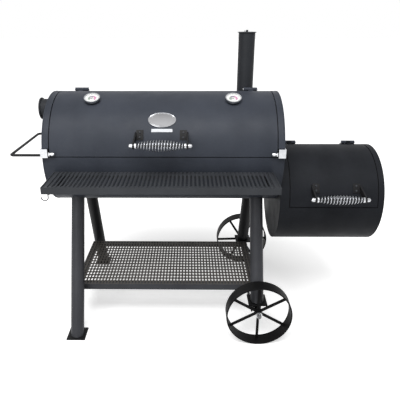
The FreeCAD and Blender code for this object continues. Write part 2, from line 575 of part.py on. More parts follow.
def wheel(word, side, spoke_turn):
    """Flat-bar rim, and a spider of six flat spokes round a hub tube."""
    centre_y = f"{side}*wheel_y"
    spider_y = f"{side}*spoke_y"
    rim = tube("wheel_radius", "wheel_radius - rim_thick", "wheel_width",
               (AXLE_X, f"{centre_y} - wheel_width/2", AXLE_Z), ALONG_Y)
    body = doc.addObject("PartDesign::Body", f"{word}_spider")
    hub = sketch_on(body, "XZ_Plane", f"{word}_hub_outline")
    circle(hub, "hub_radius")
    pad(body, hub, "hub_length", f"{word}_hub")
    spoke = sketch_on(body, "XZ_Plane", f"{word}_spoke_outline")
    half, far = number("spoke_width/2"), number("wheel_radius - rim_thick/2")
    corners = [FreeCAD.Vector(-half, 0), FreeCAD.Vector(half, 0), FreeCAD.Vector(half, far),
               FreeCAD.Vector(-half, far)]
    lines = [spoke.addGeometry(Part.LineSegment(corners[i], corners[(i + 1) % 4])) for i in range(4)]
    for i in range(4):
        spoke.addConstraint(Sketcher.Constraint("Coincident", lines[i], 2, lines[(i + 1) % 4], 1))
    for line in (lines[0], lines[2]):
        spoke.addConstraint(Sketcher.Constraint("Horizontal", line))
    for line in (lines[1], lines[3]):
        spoke.addConstraint(Sketcher.Constraint("Vertical", line))
    spoke.addConstraint(Sketcher.Constraint("Symmetric", lines[0], 1, lines[0], 2, -1, 1))
    width = spoke.addConstraint(Sketcher.Constraint("DistanceX", lines[0], 1, lines[0], 2, 2 * half))
    reach = spoke.addConstraint(Sketcher.Constraint("DistanceY", lines[1], 1, lines[1], 2, far))
    spoke.setExpression(f"Constraints[{width}]", formula("spoke_width"))
    spoke.setExpression(f"Constraints[{reach}]", formula("wheel_radius - rim_thick/2"))
    arm = pad(body, spoke, "spoke_thick", f"{word}_spoke")
    doc.recompute()
    pattern = body.newObject("PartDesign::PolarPattern", f"{word}_spokes")
    pattern.Originals = [arm]
    pattern.Axis = (hub, ["N_Axis"])
    pattern.Angle = 360
    pattern.Occurrences = 6
    body.Tip = pattern
    doc.recompute()
    bore = sketch_on(body, "XZ_Plane", f"{word}_bore_outline")
    circle(bore, "axle_radius + axle_play")
    body.Tip = pad(body, bore, "2*hub_length", f"{word}_bore", pocket=True)
    place(body, AXLE_X, spider_y, AXLE_Z, FreeCAD.Rotation(Y_AXIS, spoke_turn))
    node(fuse([rim, body]), f"{word}_wheel")


wheel("front", -1, 0)
wheel("rear", 1, 28)


# ---------------------------------------------------------------- angle-iron frames
def angle_frame(label, low_x, high_x, low_y, high_y, top, ledge_drop):
    """Welded angle-iron frame: upstanding legs outside, a ledge turned inwards below the top."""
    size = (f"{high_x} - ({low_x})", f"{high_y} - ({low_y})", "angle_leg")
    outer = box(size, (low_x, low_y, f"{top} - angle_leg"))
    through = box((f"{size[0]} - 2*angle_leg", f"{size[1]} - 2*angle_leg", "angle_leg"),
                  (f"{low_x} + angle_leg", f"{low_y} + angle_leg", f"{top} - angle_leg"))
    above = box((f"{size[0]} - 2*angle_thick", f"{size[1]} - 2*angle_thick", ledge_drop),
                (f"{low_x} + angle_thick", f"{low_y} + angle_thick", f"{top} - {ledge_drop}"))
    below = box((f"{size[0]} - 2*angle_thick", f"{size[1]} - 2*angle_thick",
                 f"angle_leg - {ledge_drop} - angle_thick"),
                (f"{low_x} + angle_thick", f"{low_y} + angle_thick", f"{top} - angle_leg"))
    node(cut(outer, fuse([through, above, below])), label)


angle_frame("front_shelf_frame", "-shelf_length/2", "shelf_length/2", "-shelf_front", "-shelf_rear",
            "shelf_top", "slat_thick")
slats = []
for index in range(int(number("slat_count"))):
    x = f"({index} - (slat_count - 1)/2) * slat_pitch - slat_width/2"
    slats.append(box(("slat_width", "shelf_front - shelf_rear - 2*angle_thick", "slat_thick"),
                     (x, "-shelf_front + angle_thick", "shelf_top - slat_thick")))
node(group(slats), "front_shelf_slats")

# Gusset under each end of the front shelf, welded to the barrel.
gussets = []
for side in (-1, 1):
    x = shifted(f"{side}*shelf_bracket_x - shelf_bracket_thick/2", "0", "0").x
    top_z = number("shelf_top - angle_leg")
    rear_y = number(f"-(chamber_radius*0.8) + {SHIFT_Y}")
    front_y = number(f"-shelf_front + angle_thick + 12 + {SHIFT_Y}")
    drop = number("shelf_bracket_drop")
    profile = [(rear_y, top_z), (front_y, top_z), (front_y, top_z - 8), (rear_y, top_z - drop)]
    points = [FreeCAD.Vector(x, y, z) for y, z in profile + profile[:1]]
    blank = coded(Part.Face(Part.makePolygon(points)).extrude(X_AXIS * number("shelf_bracket_thick")), "Gusset")
    gussets.append(cut(blank, rod("chamber_radius", "chamber_length", (f"-{CHAMBER_END}", "0", "axis_height"),
                                  ALONG_X)))
node(group(gussets), "front_shelf_gussets")

# Wire tool hook under the left-hand end of the front shelf.
top = shifted("-shelf_length/2 + hook_inset", "-shelf_front + angle_thick + hook_wire", "shelf_top - angle_leg")
drop_end = top - Z_AXIS * number("hook_drop")
bend = number("hook_bend")
low_point = drop_end - (X_AXIS + Z_AXIS) * bend
tip = drop_end - X_AXIS * 2 * bend
outer_half, inner_half = bend * (1 - math.sqrt(0.5)), bend * math.sqrt(0.5)
down_curve = Part.Arc(drop_end, drop_end - X_AXIS * outer_half - Z_AXIS * inner_half, low_point).toShape()
up_curve = Part.Arc(low_point, tip + X_AXIS * outer_half - Z_AXIS * inner_half, tip).toShape()
hook_path = Part.Wire([Part.makeLine(top, drop_end), down_curve, up_curve])
hook_section = Part.Wire(Part.Circle(top, Z_AXIS, number("hook_wire")).toShape())
node(coded(hook_path.makePipeShell([hook_section], True, False), "Hook"), "tool_hook")

angle_frame("lower_shelf_frame", "-tray_left", "tray_right", "-tray_half_y", "tray_half_y", "tray_top",
            "mesh_thick")
node(box(("tray_left + tray_right - 2*angle_thick", "2*tray_half_y - 2*angle_thick", "mesh_thick"),
         ("-tray_left + angle_thick", "-tray_half_y + angle_thick", "tray_top - mesh_thick")),
     "lower_shelf_mesh")
# Two flat bars carry the tray: one between the left legs, one under the right foot plates.
left_bar = box(("stretcher_thick", "2*tray_half_y + 120", "angle_leg"),
               ("-tray_left", "-tray_half_y - 60", "tray_top - 2*angle_leg"))
left_bar = cut(left_bar, coded(Part.makeCompound([leg_solids[0], leg_solids[2]]), "LegEnvelope"))
right_bar = box(("stretcher_thick", "2*axle_plate_y + foot_size", "angle_leg"),
                ("leg_right_x - axle_tab_width/2 - 2*stretcher_thick", "-axle_plate_y - foot_size/2",
                 "axle_plate_z - angle_leg"))
node(group([left_bar, right_bar]), "lower_shelf_stretchers")


# ---------------------------------------------------------------- inside the barrels
def slotted_grate(low_x, length, half_y, z):
    """One flat grate: a rim with parallel cross bars, laid on the rails."""
    plate = box((length, f"2*({half_y})", "grate_thick"), (low_x, f"-({half_y})", z))
    pitch = number("grate_slot + grate_bar")
    count = int((number(length) - 2 * number("grate_rim")) // pitch)
    slots = [box(("grate_slot", f"2*({half_y}) - 2*grate_rim", "grate_thick"),
                 (f"{low_x} + grate_rim + {index}*(grate_slot + grate_bar)", f"-({half_y}) + grate_rim", z))
             for index in range(count)]
    return cut(plate, group(slots))


GRATE_Z = "(axis_height - grate_drop - grate_thick)"
GRATE_HALF = "(sqrt((chamber_radius - chamber_wall)^2 - (grate_drop + grate_thick)^2) - seal_thick - grate_play)"
THIRD = "((chamber_length - 2*end_plate - 4*grate_play)/3)"
node(group([slotted_grate(f"(-{CHAMBER_END} + end_plate + grate_play + {index}*({THIRD} + grate_play))",
                          THIRD, GRATE_HALF, GRATE_Z) for index in range(3)]), "cooking_grates")


def rails(radius, height, top, low_x, length):
    """Two flat ledges welded inside a shell, under a grate."""
    bore = rod(f"({radius} - chamber_wall)", length, (low_x, "0", height), ALONG_X)
    half = number(f"sqrt(({radius} - chamber_wall)^2 - ({height} - ({top}))^2)")
    ledges = []
    for side in (-1, 1):
        low_y = f"{half - 22}" if side == 1 else f"-{half + 22}"
        ledges.append(common([box((length, "44", "rail_thick"), (low_x, low_y, f"{top} - rail_thick")), bore]))
    return ledges


cooking_rails = rails("chamber_radius", "axis_height", GRATE_Z, f"(-{CHAMBER_END} + end_plate)",
                      "(chamber_length - 2*end_plate)")
COAL_Z = f"({FIREBOX_Z} - coal_drop)"
COAL_HALF = "(sqrt((firebox_radius - chamber_wall)^2 - coal_drop^2) - grate_play)"
node(slotted_grate(f"({CHAMBER_END} + end_plate + grate_play)", "(firebox_length - 2*end_plate - 2*grate_play)",
                   COAL_HALF, COAL_Z), "charcoal_grate")
coal_rails = rails("firebox_radius", FIREBOX_Z, COAL_Z, f"({CHAMBER_END} + end_plate)",
                   "(firebox_length - 2*end_plate)")
node(group(cooking_rails + coal_rails), "grate_rails")
baffle = box(("baffle_length", "4*chamber_radius", "baffle_thick"),
             (f"{CHAMBER_END} - end_plate - baffle_length", "-2*chamber_radius", "axis_height - baffle_drop"))
node(common([baffle, rod("chamber_radius - chamber_wall", "chamber_length",
                         (f"-{CHAMBER_END}", "0", "axis_height"), ALONG_X)]), "heat_baffle")

# ---------------------------------------------------------------- lid catches
# At each lower corner of the lid a striker block stands on the barrel, beside the lid's own stud,
# which is a lug with an acorn nut pointing to the middle.
blocks, studs = [], []
CATCH_Y = "(-(chamber_radius + catch_stand))"
CATCH_Z = "(axis_height + catch_rise)"
for side in (-1, 1):
    block_x = f"({side}*(lid_length/2 + catch_gap + catch_width/2) - catch_width/2)"
    body = box(("catch_width", "catch_stand + 12", "catch_height"),
               (block_x, "-(chamber_radius + catch_stand + 6)", f"{CATCH_Z} - catch_height/2 + catch_bolt"))
    barrel = rod("chamber_radius", "catch_width + 2", (f"{block_x} - 1", "0", "axis_height"), ALONG_X)
    tunnel = rod("catch_bolt", "catch_width", (block_x, CATCH_Y, CATCH_Z), ALONG_X)
    blocks.append(cut(cut(body, barrel), tunnel))
    lug_x = f"({side}*(lid_length/2 - lug_width/2) - lug_width/2)"
    lug = box(("lug_width", "catch_stand + 12", "2*catch_nut"),
              (lug_x, "-(chamber_radius + catch_stand + 4)", f"{CATCH_Z} - catch_nut"))
    lug = cut(lug, rod("chamber_radius", "lug_width + 2", (f"{lug_x} - 1", "0", "axis_height"), ALONG_X))
    shank_x = f"{side}*(lid_length/2 - lug_width - stud_gap/2) - stud_gap/2"
    shank = rod("catch_bolt", "stud_gap", (shank_x, CATCH_Y, CATCH_Z), ALONG_X)
    nut_x = f"{side}*(lid_length/2 - lug_width - stud_gap - stud_length/2) - stud_length/2"
    collar = rod("catch_nut", "stud_length", (nut_x, CATCH_Y, CATCH_Z), ALONG_X)
    tip = doc.addObject("Part::Sphere", "Tip")
    tip.setExpression("Radius", formula("catch_nut"))
    place(tip, f"{side}*(lid_length/2 - lug_width - stud_gap - stud_length)", CATCH_Y, CATCH_Z)
    studs.append(cut(fuse([lug, shank, collar, tip]),
                     rod("chamber_radius", "chamber_length", (f"-{CHAMBER_END}", "0", "axis_height"), ALONG_X)))
node(group(blocks), "lid_catch_blocks")
node(group(studs), "lid_catch_studs")

# ---------------------------------------------------------------- check and write
doc.recompute()
for thing in doc.Objects:
    if {"Invalid", "Error"} & set(thing.State):
        raise RuntimeError(f"{thing.Label} did not build: {thing.State}")
for thing in nodes:
    if thing.Shape.isNull() or not thing.Shape.isValid() or thing.Shape.Volume <= 0:
        raise RuntimeError(f"{thing.Label} has no valid shape")
os.makedirs("parts", exist_ok=True)
for thing in nodes:
    thing.Shape.exportStep(f"parts/{thing.Label}.step")
    bounds = thing.Shape.BoundBox
    print(f"{thing.Label:30s} solids {len(thing.Shape.Solids):2d}  volume {thing.Shape.Volume / 1000:9.1f} cm3  "
          f"X {bounds.XMin:7.1f} {bounds.XMax:7.1f}  Y {bounds.YMin:7.1f} {bounds.YMax:7.1f}  "
          f"Z {bounds.ZMin:7.1f} {bounds.ZMax:7.1f}")
print(len(nodes), "nodes")
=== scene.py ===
import math

import bmesh
import bpy
from mathutils import Matrix, Vector


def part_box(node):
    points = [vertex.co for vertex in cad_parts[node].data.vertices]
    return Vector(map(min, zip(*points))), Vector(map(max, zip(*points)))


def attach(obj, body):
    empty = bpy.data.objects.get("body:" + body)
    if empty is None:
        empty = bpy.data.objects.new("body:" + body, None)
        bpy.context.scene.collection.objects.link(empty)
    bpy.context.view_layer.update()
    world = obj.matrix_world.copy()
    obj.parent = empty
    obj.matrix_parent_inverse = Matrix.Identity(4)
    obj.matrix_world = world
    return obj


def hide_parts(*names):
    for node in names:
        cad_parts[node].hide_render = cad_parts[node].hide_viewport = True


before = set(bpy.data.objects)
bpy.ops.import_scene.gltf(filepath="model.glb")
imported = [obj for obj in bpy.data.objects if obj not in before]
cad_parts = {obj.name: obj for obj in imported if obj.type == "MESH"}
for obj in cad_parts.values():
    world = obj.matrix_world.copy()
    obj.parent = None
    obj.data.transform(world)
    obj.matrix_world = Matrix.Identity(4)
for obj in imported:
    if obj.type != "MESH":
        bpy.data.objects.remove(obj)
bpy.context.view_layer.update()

# ------------------------------------------------------------------ cooking barrel
# A length of 20 inch steel pipe with a flat plate welded on each end, a lid cut out of its upper
# front quarter, and flat strips welded inside the opening. All of it wears a satin, faintly blue
# heat-resistant paint, sprayed thick enough to leave a fine orange peel.
MM = 0.001


def new_material(name):
    """A node material with its tree, its surface shader and object coordinates."""
    material = bpy.data.materials.new(name)
    material.use_nodes = True
    tree = material.node_tree
    coordinates = tree.nodes.new("ShaderNodeTexCoord").outputs["Object"]
    return material, tree, tree.nodes["Principled BSDF"], coordinates


def noise(tree, place, scale, detail=3.0, roughness=0.55, stretch=None):
    """A noise texture's factor, in cycles per metre; stretch scales the three axes."""
    if stretch:
        mapping = tree.nodes.new("ShaderNodeMapping")
        mapping.inputs["Scale"].default_value = stretch
        tree.links.new(place, mapping.inputs["Vector"])
        place = mapping.outputs["Vector"]
    texture = tree.nodes.new("ShaderNodeTexNoise")
    texture.inputs["Scale"].default_value = scale
    texture.inputs["Detail"].default_value = detail
    texture.inputs["Roughness"].default_value = roughness
    tree.links.new(place, texture.inputs["Vector"])
    return texture.outputs["Fac"]


def ramp(tree, factor, stops):
    """Colours at positions along a factor."""
    node = tree.nodes.new("ShaderNodeValToRGB")
    elements = node.color_ramp.elements
    while len(elements) < len(stops):
        elements.new(0.5)
    for element, (position, color) in zip(elements, stops):
        element.position = position
        element.color = (*color, 1.0) if len(color) == 3 else color
    tree.links.new(factor, node.inputs["Fac"])
    return node.outputs["Color"]


def spread(tree, factor, low, high):
    """A factor between about 0.3 and 0.7, mapped to low..high."""
    node = tree.nodes.new("ShaderNodeMapRange")
    node.inputs["From Min"].default_value = 0.3
    node.inputs["From Max"].default_value = 0.7
    node.inputs["To Min"].default_value = low
    node.inputs["To Max"].default_value = high
    tree.links.new(factor, node.inputs["Value"])
    return node.outputs["Result"]


def mixed(tree, factor, first, second, blend="MIX"):
    """Two colours mixed by a factor; each may be a socket or a colour."""
    node = tree.nodes.new("ShaderNodeMix")
    node.data_type = "RGBA"
    node.blend_type = blend
    sockets = [s for s in node.inputs if s.type == "RGBA"]
    factor_socket = node.inputs[0]
    if hasattr(factor, "is_linked"):
        tree.links.new(factor, factor_socket)
    else:
        factor_socket.default_value = factor
    for socket, value in zip(sockets, (first, second)):
        if hasattr(value, "is_linked"):
            tree.links.new(value, socket)
        else:
            socket.default_value = (*value, 1.0)
    return [s for s in node.outputs if s.type == "RGBA"][0]


def bumped(tree, shader, height, depth, strength=0.6):
    """Relief of a given depth in metres on the shader."""
    node = tree.nodes.new("ShaderNodeBump")
    node.inputs["Distance"].default_value = depth
    node.inputs["Strength"].default_value = strength
    tree.links.new(height, node.inputs["Height"])
    tree.links.new(node.outputs["Normal"], shader.inputs["Normal"])


def heat_paint(name, dark, light, roughness, peel_depth, dust, sheen=0.16):
    """Sprayed heat-resistant paint: cloudy tone, orange peel, and a little pale dust."""
    material, tree, shader, place = new_material(name)
    clouds = noise(tree, place, 5.0, 4.0, 0.6)
    tone = ramp(tree, clouds, ((0.32, dark), (0.7, light)))
    drips = noise(tree, place, 9.0, 3.0, 0.5, (1.0, 0.25, 0.25))
    tone = mixed(tree, spread(tree, drips, 0.0, 0.35), tone, tuple(c * 1.35 for c in light))
    specks = ramp(tree, noise(tree, place, 620.0, 2.0), ((0.66, (0, 0, 0)), (0.74, (1, 1, 1))))
    specks_amount = mixed(tree, 1.0, specks, (dust, dust, dust), "MULTIPLY")
    tone = mixed(tree, specks_amount, tone, (0.30, 0.30, 0.31))
    tree.links.new(tone, shader.inputs["Base Color"])
    tree.links.new(spread(tree, noise(tree, place, 14.0, 5.0), roughness - 0.05, roughness + 0.07),
                   shader.inputs["Roughness"])
    shader.inputs["Specular IOR Level"].default_value = sheen
    bumped(tree, shader, noise(tree, place, 420.0, 3.0), peel_depth)
    return material


def dress(names, material):
    """Give CAD nodes a finish in place of their plain one."""
    for name in names:
        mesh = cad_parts[name].data
        mesh.materials.clear()
        mesh.materials.append(material)


barrel_paint = heat_paint("barrel paint", (0.024, 0.028, 0.037), (0.036, 0.041, 0.053), 0.50, 0.0005, 0.25)
flue_paint = heat_paint("flue paint", (0.013, 0.014, 0.016), (0.022, 0.024, 0.028), 0.5, 0.0004, 0.18)
dress(("chamber_shell", "chamber_end_left", "chamber_end_right", "lid_panel", "lid_hinge_moving_leaves"),
      barrel_paint)
# The seal frames behind the lid and door gaps are near-black: painted shade for the dark of the gaps.
seal_shade_black = heat_paint("seal strip in painted shade", (0.004, 0.004, 0.004), (0.008, 0.008, 0.008), 0.7, 0.0004, 0.05)
dress(("chamber_seal_frame",), seal_shade_black)
dress(("flue_stack", "stack_cap", "side_port_pipe", "side_port_cap"), flue_paint)

# ------------------------------------------------------------------ lid hinges
# Steel knuckle hinges welded along the rear edge of each lid and left under the same paint; their
# pins are plain plated rod, a little longer than the knuckles.


def plated(name, color, roughness, streak, metallic=1.0):
    """Bright plated metal with fine brushed streaks and small dull patches."""
    material, tree, shader, place = new_material(name)
    patches = noise(tree, place, 60.0, 4.0)
    tone = ramp(tree, patches, ((0.30, tuple(c * 0.82 for c in color)), (0.62, color)))
    tree.links.new(tone, shader.inputs["Base Color"])
    shader.inputs["Metallic"].default_value = metallic
    lines = noise(tree, place, 900.0, 2.0, 0.5, (0.15, 1.0, 1.0))
    tree.links.new(spread(tree, lines, roughness * 0.7, roughness * 1.4), shader.inputs["Roughness"])
    bumped(tree, shader, lines, streak, 0.35)
    return material


zinc = plated("zinc plate", (0.52, 0.53, 0.54), 0.36, 0.00008)
dress(("hinge_pins", "split_pins", "axle_washers", "stack_cap_pivot", "damper_bolt_and_nut"), zinc)
dress(("hinge_fixed_leaves",), barrel_paint)

# ------------------------------------------------------------------ firebox
# A shorter, wider-walled 18 inch pipe welded low on the end of the barrel. It runs hotter, so its
# paint is flatter and blacker, with the same door, hinges and seal strips as the barrel.
firebox_paint = heat_paint("firebox paint", (0.009, 0.0098, 0.012), (0.017, 0.0185, 0.022), 0.52, 0.0004,
                           0.15, 0.07)
# The firebox door's seal frame gets the same near-black painted shade for its gap.
dress(("firebox_seal_frame",), seal_shade_black)
dress(("firebox_shell", "firebox_end_left", "firebox_end_right", "firebox_door_panel",
       "firebox_door_hinge_moving_leaves", "air_damper"), firebox_paint)

# ------------------------------------------------------------------ stand
# Four leaning 2 inch tubes on square plates, the axle and its brackets, both shelves' angle iron
# and the push handle, in satin black sprayed on the welded frame.
# A lighter copy of the frame's satin black: painted highlight on the front legs and the lower shelf's frame,
# which face the light.
frame_highlight_paint = heat_paint("painted highlight frame black", (0.036, 0.037, 0.042), (0.056, 0.058, 0.065), 0.42, 0.0003, 0.2)
shelf_paint = heat_paint("shelf paint", (0.028, 0.030, 0.034), (0.044, 0.047, 0.053), 0.42, 0.0003, 0.2)
# A near-black copy of the frame's satin black: painted shade on the rear legs, feet, axle brackets, shelf
# stretchers and gussets; the push handle and the door handles' brackets take it too.
shade_black_paint = heat_paint("near-black painted shade", (0.006, 0.006, 0.0065), (0.011, 0.011, 0.012), 0.48, 0.0003,
                         0.1)
wheel_paint = heat_paint("wheel paint", (0.004, 0.004, 0.0042), (0.008, 0.008, 0.0085), 0.5, 0.0003, 0.08,
                         0.06)
# Lit and shaded copies of one satin black go on the frame parts below; the front shelf keeps the plain one.
dress(("leg_front_left", "leg_front_right", "lower_shelf_frame"), frame_highlight_paint)
dress(("front_shelf_frame", "front_shelf_slats"), shelf_paint)
dress(("leg_rear_left", "leg_rear_right", "leg_plates", "axle_brackets", "lower_shelf_stretchers",
       "front_shelf_gussets", "push_handle", "push_handle_flanges", "lid_handle_brackets",
       "firebox_door_handle_brackets"), shade_black_paint)
dress(("front_wheel", "rear_wheel"), wheel_paint)
axle_steel = plated("oiled axle steel", (0.16, 0.16, 0.165), 0.42, 0.00008)
dress(("wheel_axle",), axle_steel)
hook_wire = plated("hook wire", (0.10, 0.10, 0.105), 0.38, 0.00004)
dress(("tool_hook",), hook_wire)

# ------------------------------------------------------------------ grates and baffle
# Loose grates on ledges inside the barrels: seasoned iron, nearly black, with grease and rust
# freckles where the bars have burned.


def seasoned_iron():
    """Iron under baked-on grease, freckled with rust."""
    material, tree, shader, place = new_material("seasoned iron")
    rust = ramp(tree, noise(tree, place, 45.0, 6.0, 0.7),
                ((0.50, (0.030, 0.028, 0.026)), (0.66, (0.085, 0.042, 0.022))))
    tree.links.new(rust, shader.inputs["Base Color"])
    shader.inputs["Metallic"].default_value = 0.3
    tree.links.new(spread(tree, noise(tree, place, 90.0, 4.0), 0.42, 0.75), shader.inputs["Roughness"])
    bumped(tree, shader, noise(tree, place, 260.0, 5.0, 0.7), 0.0006)
    return material


iron = seasoned_iron()
dress(("cooking_grates", "charcoal_grate", "grate_rails", "heat_baffle"), iron)

# ------------------------------------------------------------------ spring handles
# Each lid's handle is a plated cross rod through two flat brackets. A barrel-shaped coil of bright
# spring wire runs between two plated collars on it and stays cool to hold; acorn nuts close the ends.
chrome = plated("bright chrome", (0.52, 0.53, 0.55), 0.14, 0.00003)
spring_steel = plated("spring wire", (0.36, 0.37, 0.39), 0.22, 0.00005)


def new_tree(name, inputs):
    """An empty geometry tree with named number inputs and one geometry output."""
    tree = bpy.data.node_groups.new(name, "GeometryNodeTree")
    tree.interface.new_socket("Geometry", in_out="INPUT", socket_type="NodeSocketGeometry")
    for label, value in inputs.items():
        kind = "NodeSocketInt" if isinstance(value, int) else "NodeSocketFloat"
        socket = tree.interface.new_socket(label, in_out="INPUT", socket_type=kind)
        socket.default_value = value
    tree.interface.new_socket("Geometry", in_out="OUTPUT", socket_type="NodeSocketGeometry")
    return tree, tree.nodes.new("NodeGroupInput"), tree.nodes.new("NodeGroupOutput")


def sum_of(tree, operation, first, second):
    """One math node; each operand may be a socket or a number."""
    node = tree.nodes.new("ShaderNodeMath")
    node.operation = operation
    for socket, value in zip(node.inputs, (first, second)):
        if isinstance(value, (int, float)):
            socket.default_value = value
        else:
            tree.links.new(value, socket)
    return node.outputs[0]


def closing(tree, geometry, output, material):
    """Realize Instances and Set Material at the end of a tree."""
    realize = tree.nodes.new("GeometryNodeRealizeInstances")
    painted = tree.nodes.new("GeometryNodeSetMaterial")
    painted.inputs["Material"].default_value = material
    tree.links.new(geometry, realize.inputs["Geometry"])
    tree.links.new(realize.outputs["Geometry"], painted.inputs["Geometry"])
    tree.links.new(painted.outputs["Geometry"], output.inputs["Geometry"])


def grown(name, tree, values, place=Matrix.Identity(4), source=None):
    """Run a geometry tree and keep its result as a plain mesh, with its place in the mesh."""
    mesh = source or bpy.data.meshes.new(name + " seed")
    seed = bpy.data.objects.new(name + "_seed", mesh)
    bpy.context.scene.collection.objects.link(seed)
    modifier = seed.modifiers.new("grow", "NODES")
    modifier.node_group = tree
    for socket in tree.interface.items_tree:
        if socket.in_out == "INPUT" and socket.name in values:
            modifier[socket.identifier] = values[socket.name]
    graph = bpy.context.evaluated_depsgraph_get()
    result = bpy.data.meshes.new_from_object(seed.evaluated_get(graph))
    bpy.data.objects.remove(seed)
    result.transform(place)
    result.name = name
    piece = bpy.data.objects.new(name, result)
    bpy.context.scene.collection.objects.link(piece)
    return piece


def coil_tree():
    """A helix whose radius swells from both ends to the middle, swept with round wire."""
    tree, given, output = new_tree("barrel coil", {
        "Half Length": 0.1, "End Radius": 0.009, "Belly Radius": 0.018, "Wire Radius": 0.0022,
        "Turns": 18.0})
    spiral = tree.nodes.new("GeometryNodeCurveSpiral")
    spiral.inputs["Resolution"].default_value = 20
    spiral.inputs["Start Radius"].default_value = 1.0
    spiral.inputs["End Radius"].default_value = 1.0
    tree.links.new(given.outputs["Turns"], spiral.inputs["Rotations"])
    tree.links.new(sum_of(tree, "MULTIPLY", given.outputs["Half Length"], 2.0), spiral.inputs["Height"])
    position = tree.nodes.new("GeometryNodeInputPosition")
    parts = tree.nodes.new("ShaderNodeSeparateXYZ")
    tree.links.new(position.outputs[0], parts.inputs[0])
    centred = sum_of(tree, "SUBTRACT", parts.outputs["Z"], given.outputs["Half Length"])
    share = sum_of(tree, "DIVIDE", centred, given.outputs["Half Length"])
    hump = sum_of(tree, "SUBTRACT", 1.0, sum_of(tree, "POWER", sum_of(tree, "ABSOLUTE", share, 0.0), 2.0))
    swell = sum_of(tree, "MULTIPLY", hump,
                   sum_of(tree, "SUBTRACT", given.outputs["Belly Radius"], given.outputs["End Radius"]))
    radius = sum_of(tree, "ADD", given.outputs["End Radius"], swell)
    turned = tree.nodes.new("ShaderNodeCombineXYZ")
    tree.links.new(centred, turned.inputs["X"])
    tree.links.new(sum_of(tree, "MULTIPLY", parts.outputs["X"], radius), turned.inputs["Y"])
    tree.links.new(sum_of(tree, "MULTIPLY", parts.outputs["Y"], radius), turned.inputs["Z"])
    moved = tree.nodes.new("GeometryNodeSetPosition")
    tree.links.new(spiral.outputs["Curve"], moved.inputs["Geometry"])
    tree.links.new(turned.outputs[0], moved.inputs["Position"])
    wire = tree.nodes.new("GeometryNodeCurvePrimitiveCircle")
    wire.inputs["Resolution"].default_value = 10
    tree.links.new(given.outputs["Wire Radius"], wire.inputs["Radius"])
    swept = tree.nodes.new("GeometryNodeCurveToMesh")
    swept.inputs["Fill Caps"].default_value = True
    tree.links.new(moved.outputs["Geometry"], swept.inputs["Curve"])
    tree.links.new(wire.outputs["Curve"], swept.inputs["Profile Curve"])
    smooth = tree.nodes.new("GeometryNodeSetShadeSmooth")
    tree.links.new(swept.outputs["Mesh"], smooth.inputs["Geometry"])
    closing(tree, smooth.outputs["Geometry"], output, spring_steel)
    return tree


def lathe(name, profile, axis_start, axis, material, steps=32, closed=False):
    """A turned piece: profile is (distance along the axis, radius) in metres."""
    axis = Vector(axis).normalized()
    side = axis.orthogonal().normalized()
    other = axis.cross(side)
    rows = []
    vertices, faces = [], []
    for along, radius in profile:
        if radius < 1e-6:
            rows.append([len(vertices)])
            vertices.append(Vector(axis_start) + axis * along)
            continue
        rows.append(list(range(len(vertices), len(vertices) + steps)))
        for step in range(steps):
            angle = 2 * math.pi * step / steps
            spoke = side * math.cos(angle) + other * math.sin(angle)
            vertices.append(Vector(axis_start) + axis * along + spoke * radius)
    pairs = list(zip(rows, rows[1:]))
    if closed:
        pairs.append((rows[-1], rows[0]))
    for first, second in pairs:
        for step in range(steps):
            following = (step + 1) % steps
            corners = [first[step % len(first)], first[following % len(first)],
                       second[following % len(second)], second[step % len(second)]]
            unique = list(dict.fromkeys(corners))
            if len(unique) > 2:
                faces.append(unique)
    return mesh_piece(name, vertices, faces, material)


def mesh_piece(name, vertices, faces, material, smooth=True):
    """A new piece from corner points and faces, with normals made to point outwards."""
    mesh = bpy.data.meshes.new(name)
    mesh.from_pydata([tuple(v) for v in vertices], [], faces)
    shape = bmesh.new()
    shape.from_mesh(mesh)
    bmesh.ops.remove_doubles(shape, verts=shape.verts, dist=1e-6)
    bmesh.ops.recalc_face_normals(shape, faces=shape.faces)
    shape.to_mesh(mesh)
    shape.free()
    mesh.materials.append(material)
    if smooth:
        mesh.polygons.foreach_set("use_smooth", [True] * len(mesh.polygons))
        mesh.set_sharp_from_angle(angle=math.radians(40))
    piece = bpy.data.objects.new(name, mesh)
    bpy.context.scene.collection.objects.link(piece)
    return piece


def corners(node):
    """A CAD node's lowest and highest corner."""
    low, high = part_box(node)
    return Vector(low), Vector(high)


barrel_coil = coil_tree()
COIL_END_RADIUS = 10 * MM
COLLAR_LENGTH, COLLAR_BORE, COLLAR_RADIUS, COLLAR_EDGE = 9 * MM, 5.4 * MM, 12.3 * MM, 1 * MM
COLLAR_PROFILE = ((0, COLLAR_BORE), (0, COLLAR_RADIUS - COLLAR_EDGE), (COLLAR_EDGE, COLLAR_RADIUS),
                  (COLLAR_LENGTH - COLLAR_EDGE, COLLAR_RADIUS),
                  (COLLAR_LENGTH, COLLAR_RADIUS - COLLAR_EDGE), (COLLAR_LENGTH, COLLAR_BORE))
for door, turns, wire in (("lid", 16.0, 2.4 * MM), ("firebox_door", 14.0, 2.3 * MM)):
    low, high = corners(door + "_handle_spring")
    centre = (low + high) / 2
    half = (high.x - low.x) / 2
    belly = (high.z - low.z) / 2
    coil = grown(door + "_coil_spring", barrel_coil,
                 {"Half Length": half - COLLAR_LENGTH - wire, "End Radius": COIL_END_RADIUS,
                  "Belly Radius": belly - wire, "Wire Radius": wire, "Turns": turns},
                 Matrix.Translation(centre))
    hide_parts(door + "_handle_spring")
    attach(coil, door)
    for side, word in ((-1, "left"), (1, "right")):
        collar = lathe(f"{door}_spring_collar_{word}", COLLAR_PROFILE,
                       centre + Vector((side * half, 0, 0)), (-side, 0, 0), chrome, closed=True)
        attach(collar, door)
dress(("lid_handle_nuts", "firebox_door_handle_nuts", "lid_catch_blocks", "lid_catch_studs"), chrome)
dark_rod = plated("blackened rod", (0.05, 0.05, 0.052), 0.45, 0.00005)
dress(("lid_handle_rod", "firebox_door_handle_rod"), dark_rod)

# Each bracket has a small foot plate bolted flat on the door beside it, with two domed bolts.


